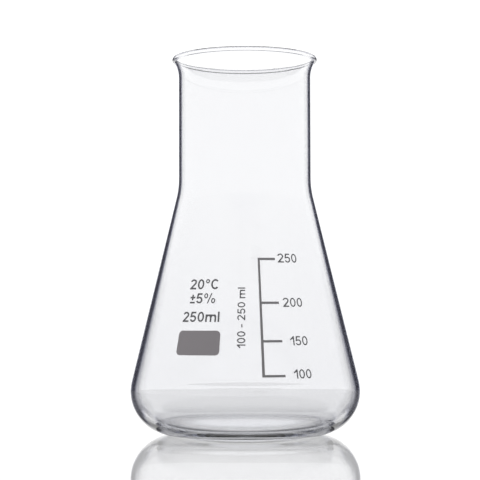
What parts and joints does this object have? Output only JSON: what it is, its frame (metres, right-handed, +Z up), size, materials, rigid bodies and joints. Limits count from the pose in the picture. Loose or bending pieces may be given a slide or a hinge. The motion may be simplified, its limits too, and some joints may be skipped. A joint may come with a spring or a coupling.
{
  "type": "erlenmeyer flask",
  "caption": "Wide-neck conical laboratory flask in clear blown glass, with a flared beaded lip, a rounded heel, and a grey enamel volume scale and writing patch on one side.",
  "frame": {"origin": "centre of the foot, on the plane that the flask stands on", "axes": "+Z up along the flask's axis; the enamel marks are on the -Y side, and read left to right towards +X"},
  "size_m": [0.085, 0.085, 0.14],
  "materials": {
    "clear_glass": "clear, polished, with slight waviness from blowing",
    "grey_enamel": "fired grey enamel print, satin",
    "patch_enamel": "fired warm grey enamel, matt so that a pencil marks it"
  },
  "bodies": {
    "root": {"glass_flask": "clear_glass", "scale_bracket": "grey_enamel", "writing_patch": "patch_enamel", "capacity_digit_1": "grey_enamel", "capacity_digit_2": "grey_enamel", "capacity_digit_3": "grey_enamel", "capacity_letter_l": "grey_enamel", "capacity_letter_m": "grey_enamel", "graduation_100_digit_1": "grey_enamel", "graduation_100_digit_2": "grey_enamel", "graduation_100_digit_3": "grey_enamel", "graduation_150_digit_1": "grey_enamel", "graduation_150_digit_2": "grey_enamel", "graduation_150_digit_3": "grey_enamel", "graduation_200_digit_1": "grey_enamel", "graduation_200_digit_2": "grey_enamel", "graduation_200_digit_3": "grey_enamel", "graduation_250_digit_1": "grey_enamel", "graduation_250_digit_2": "grey_enamel", "graduation_250_digit_3": "grey_enamel", "range_dash": "grey_enamel", "range_digit_1": "grey_enamel", "range_digit_2": "grey_enamel", "range_digit_3": "grey_enamel", "range_digit_5": "grey_enamel", "range_digit_6": "grey_enamel", "range_digit_7": "grey_enamel", "range_letter_l": "grey_enamel", "range_letter_m": "grey_enamel", "temperature_degree_ring": "grey_enamel", "temperature_digit_1": "grey_enamel", "temperature_digit_2": "grey_enamel", "temperature_letter_C": "grey_enamel", "tolerance_digit_2": "grey_enamel", "tolerance_minus_bar": "grey_enamel", "tolerance_percent_ring_left": "grey_enamel", "tolerance_percent_ring_right": "grey_enamel", "tolerance_percent_slash": "grey_enamel", "tolerance_plus_sign": "grey_enamel"}
  },
  "joints": []
}
